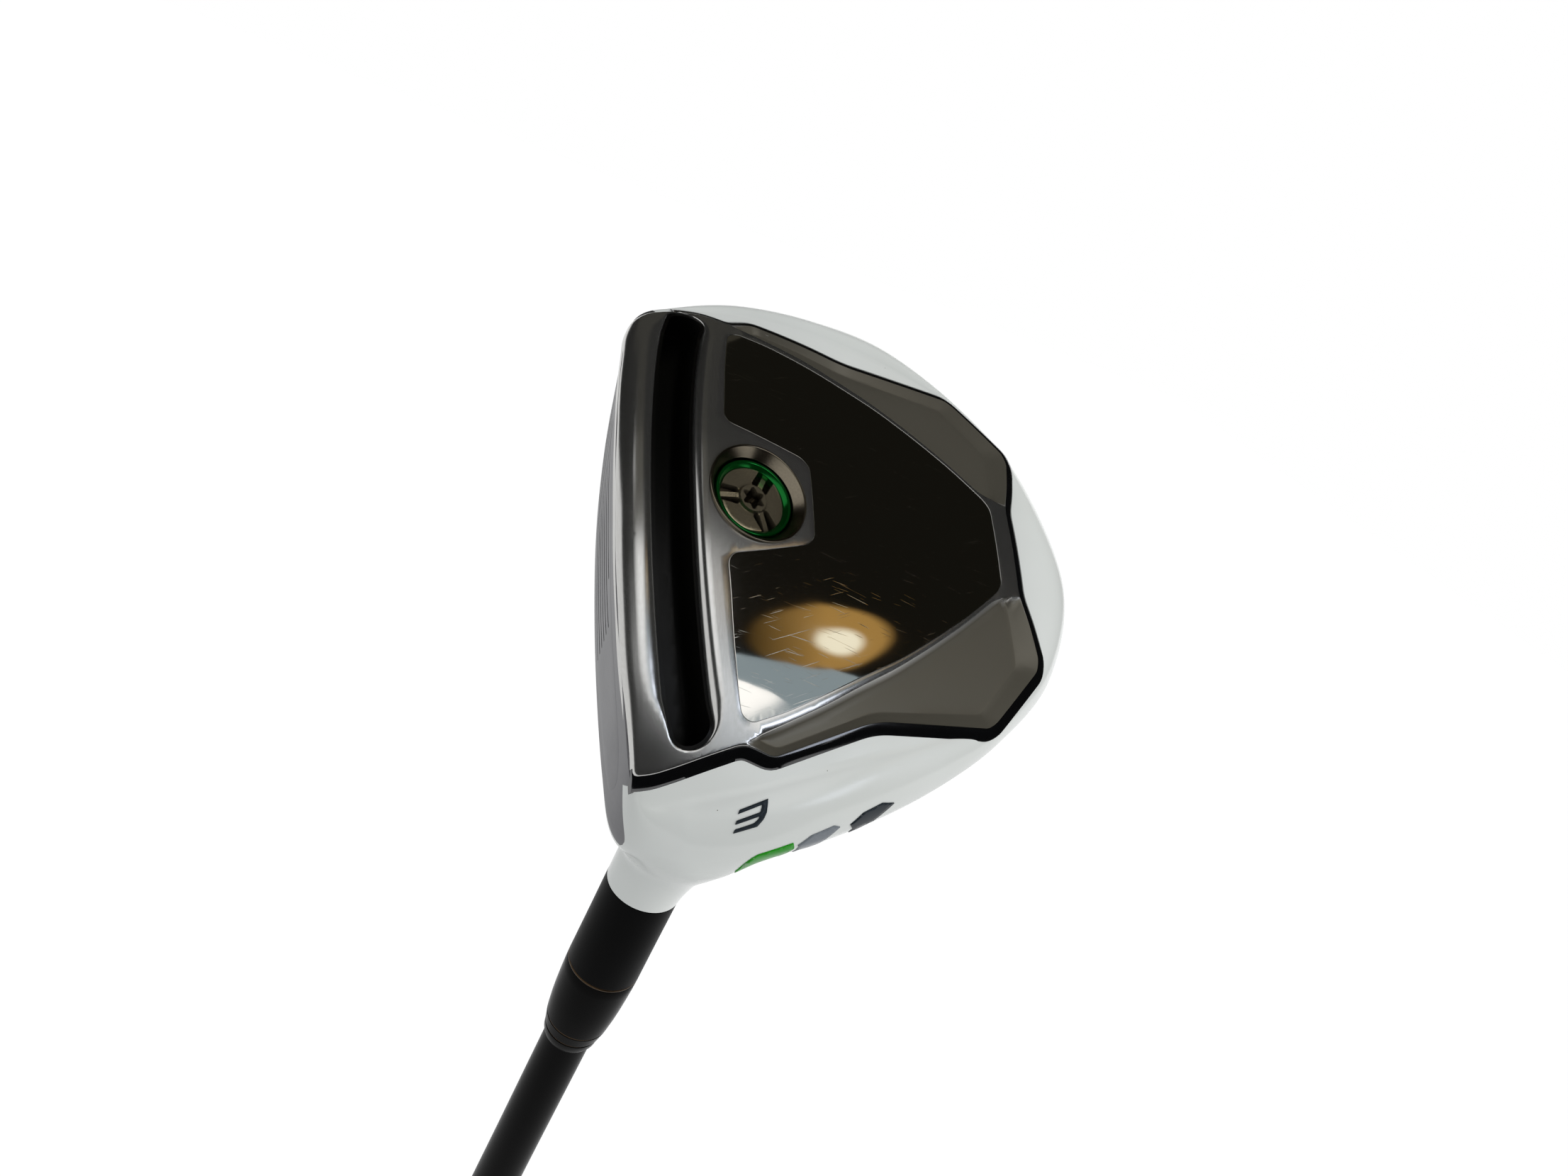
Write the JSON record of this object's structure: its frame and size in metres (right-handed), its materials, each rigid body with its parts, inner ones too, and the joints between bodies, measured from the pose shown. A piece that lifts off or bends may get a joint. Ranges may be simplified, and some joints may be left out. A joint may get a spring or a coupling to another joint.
{
  "type": "fairway wood",
  "caption": "Left-handed golf fairway wood: hollow white steel head with slotted metal sole and a removable screw weight, bonded carbon shaft and slip-on rubber grip.",
  "frame": {"origin": "centre of the vent hole on the end face of the grip cap, on the shaft axis", "axes": "+Z along the shaft from the grip to the head, +Y to the back of the head, so the striking face looks to -Y and the sole to +Z and +X"},
  "size_m": [0.0987, 0.096, 1.1255],
  "materials": {
    "white_paint": "gloss",
    "face_steel": "satin, scored",
    "sole_steel": "brushed",
    "black_paint": "gloss",
    "mirror_steel": "dark mirror polish",
    "slot_black": "matte",
    "port_steel": "machined",
    "green_anodised": "anodised gloss",
    "washer_polymer": "matte",
    "clip_steel": "sprung",
    "screw_steel": "machined",
    "collar_black": "satin",
    "trim_copper": "satin",
    "ferrule_black": "polished",
    "shaft_carbon": "lacquered carbon composite",
    "plug_brass": "turned",
    "tape_paper": "matte",
    "grip_rubber": "textured",
    "cap_rubber": "moulded"
  },
  "bodies": {
    "club": {"head_body": "white_paint", "crown": "white_paint", "face_plate": "face_steel", "sole_plate": "sole_steel", "sole_bezel": "black_paint", "polished_inlay": "mirror_steel", "slot_trough": "slot_black", "weight_port": "port_steel", "hosel_collar": "collar_black", "trim_ring": "trim_copper", "ferrule": "ferrule_black", "shaft": "shaft_carbon", "tip_plug": "plug_brass", "grip_tape": "tape_paper", "grip_sleeve": "grip_rubber", "grip_cap": "cap_rubber"},
    "weight_carriage": {"weight_ring": "green_anodised", "weight_washer": "washer_polymer"},
    "weight_spindle": {"weight_screw": "screw_steel", "weight_clip": "clip_steel"}
  },
  "joints": [
    {"name": "weight_lift", "type": "slide", "parent": "club", "child": "weight_carriage", "axis": [0.5299, 0, 0.848], "range_m": [0, 0.0055]},
    {"name": "weight_turn", "type": "hinge", "parent": "weight_carriage", "child": "weight_spindle", "pos_m": [-0.02658, 0.0031, 1.10701], "axis": [0.5299, 0, 0.848], "range_deg": [0, 1980]}
  ],
  "couplings": [
    {"joint": "weight_turn", "follows": "weight_lift", "rad_per_m": 6283.2}
  ]
}
